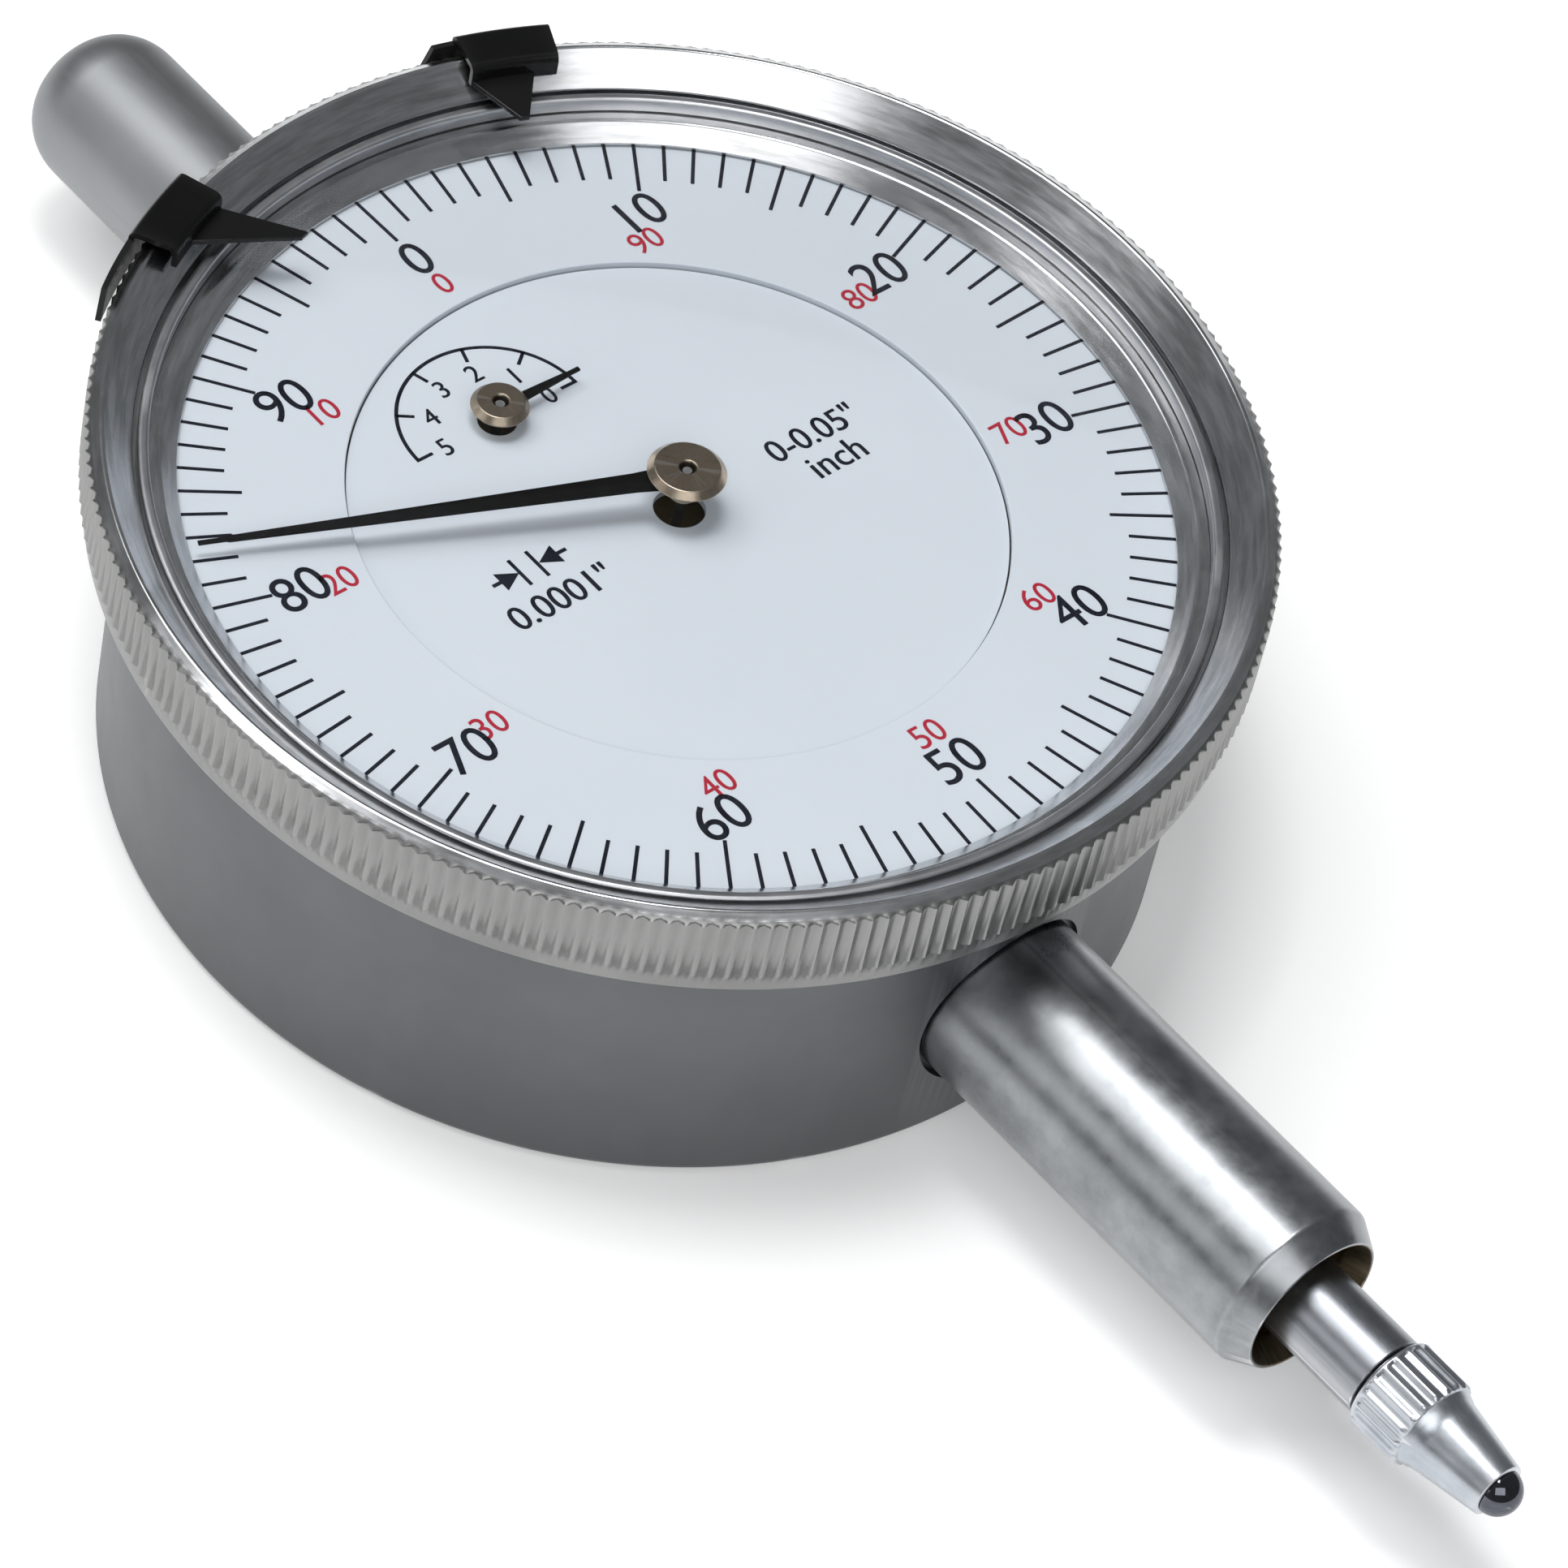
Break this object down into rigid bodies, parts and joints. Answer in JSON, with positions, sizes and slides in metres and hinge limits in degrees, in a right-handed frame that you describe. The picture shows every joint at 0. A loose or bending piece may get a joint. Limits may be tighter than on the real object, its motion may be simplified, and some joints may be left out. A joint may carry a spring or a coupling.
{
  "type": "dial indicator",
  "caption": "Round-faced dial indicator with a plain stem, a spring-loaded spindle and contact point, two hands, a turning bezel with a domed crystal and sliding tolerance clips.",
  "frame": {"origin": "centre of the flat back, under the centre of the dial", "axes": "+Z out of the dial towards the reader, +Y along the spindle from the contact point to the dust cap, +X to the right of the dial"},
  "size_m": [0.0588, 0.1112, 0.0224],
  "materials": {
    "satin_steel": "satin grey",
    "bright_steel": "turned and ground bright",
    "bronze": "reamed bearing bronze",
    "brass": "machined",
    "nickel": "pale turned nickel",
    "black_steel": "smooth black",
    "dial_white": "satin white print",
    "ruby": "polished",
    "crystal_clear": "clear polished dome"
  },
  "bodies": {
    "case": {"back_cover": "satin_steel", "back_cover_screw_1": "bright_steel", "back_cover_screw_2": "bright_steel", "back_cover_screw_3": "bright_steel", "back_cover_screw_4": "bright_steel", "bezel_spring_ring": "bright_steel", "case_body": "satin_steel", "dust_cap": "satin_steel", "guide_block": "brass", "hairspring": "bright_steel", "inner_dial": "dial_white", "jewel_1": "ruby", "jewel_2": "ruby", "jewel_3": "ruby", "jewel_4": "ruby", "jewel_5": "ruby", "jewel_6": "ruby", "jewel_7": "ruby", "jewel_8": "ruby", "lower_bushing": "bronze", "lower_plate": "brass", "movement_screw_1": "bright_steel", "movement_screw_2": "bright_steel", "movement_screw_3": "bright_steel", "pillar_screw_1": "bright_steel", "pillar_screw_2": "bright_steel", "pillar_screw_3": "bright_steel", "plate_pillar_1": "brass", "plate_pillar_2": "brass", "plate_pillar_3": "brass", "rack_cock": "brass", "return_spring": "bright_steel", "stem": "bright_steel", "upper_bushing": "bronze", "upper_plate": "brass"},
    "spindle": {"rack_spindle": "bright_steel", "guide_pin": "bright_steel", "spring_pin": "bright_steel", "contact_point": "bright_steel", "contact_ball": "bright_steel"},
    "rack_arbor": {"rack_pinion": "bright_steel", "rack_gear": "brass"},
    "second_arbor": {"second_pinion": "bright_steel", "second_gear": "brass"},
    "centre_arbor": {"centre_pinion": "bright_steel", "main_hand": "black_steel", "main_hand_hub": "nickel"},
    "take_up_arbor": {"take_up_arbor": "bright_steel", "take_up_gear": "brass"},
    "counter_arbor": {"counter_arbor": "bright_steel", "counter_gear": "brass", "counter_hand": "black_steel", "counter_hand_hub": "nickel"},
    "bezel": {"bezel": "bright_steel", "outer_dial": "dial_white", "dial_retaining_ring": "bright_steel", "crystal": "crystal_clear", "crystal_ring": "bright_steel"},
    "left_clip": {"tolerance_clip_left": "black_steel"},
    "right_clip": {"tolerance_clip_right": "black_steel"}
  },
  "joints": [
    {"name": "spindle_slide", "type": "slide", "parent": "case", "child": "spindle", "axis": [0, 1, 0], "range_m": [0, 0.0014], "stiffness_N_per_m": 300, "springref_m": -0.003},
    {"name": "pointer_spin", "type": "hinge", "parent": "case", "child": "centre_arbor", "pos_m": [0, 0, 0.0128], "axis": [0, 0, 1], "range_deg": [-1980.1, 0]},
    {"name": "rack_gear_spin", "type": "hinge", "parent": "case", "child": "rack_arbor", "pos_m": [0.0029, -0.01193, 0.0096], "axis": [0, 0, 1], "range_deg": [-82.6, 0]},
    {"name": "second_gear_spin", "type": "hinge", "parent": "case", "child": "second_arbor", "pos_m": [0.003, -0.00353, 0.0128], "axis": [0, 0, 1], "range_deg": [0, 495.1]},
    {"name": "take_up_spin", "type": "hinge", "parent": "case", "child": "take_up_arbor", "pos_m": [-0.0052, -0.00388, 0.0128], "axis": [0, 0, 1], "range_deg": [0, 330.1]},
    {"name": "counter_spin", "type": "hinge", "parent": "case", "child": "counter_arbor", "pos_m": [-0.00395, 0.0094, 0.0128], "axis": [0, 0, 1], "range_deg": [0, 198.1]},
    {"name": "bezel_turn", "type": "hinge", "parent": "case", "child": "bezel", "pos_m": [0, 0, 0.0184], "axis": [0, 0, 1], "continuous": true},
    {"name": "left_clip_slide", "type": "hinge", "parent": "bezel", "child": "left_clip", "pos_m": [0, 0, 0.0218], "axis": [0, 0, 1], "range_deg": [-12, 140]},
    {"name": "right_clip_slide", "type": "hinge", "parent": "bezel", "child": "right_clip", "pos_m": [0, 0, 0.0218], "axis": [0, 0, 1], "range_deg": [-140, 12]}
  ],
  "couplings": [
    {"joint": "pointer_spin", "follows": "spindle_slide", "rad_per_m": -24737},
    {"joint": "rack_gear_spin", "follows": "spindle_slide", "rad_per_m": -1030.7},
    {"joint": "second_gear_spin", "follows": "spindle_slide", "rad_per_m": 6184.2},
    {"joint": "take_up_spin", "follows": "spindle_slide", "rad_per_m": 4122.8},
    {"joint": "counter_spin", "follows": "spindle_slide", "rad_per_m": 2473.7}
  ]
}
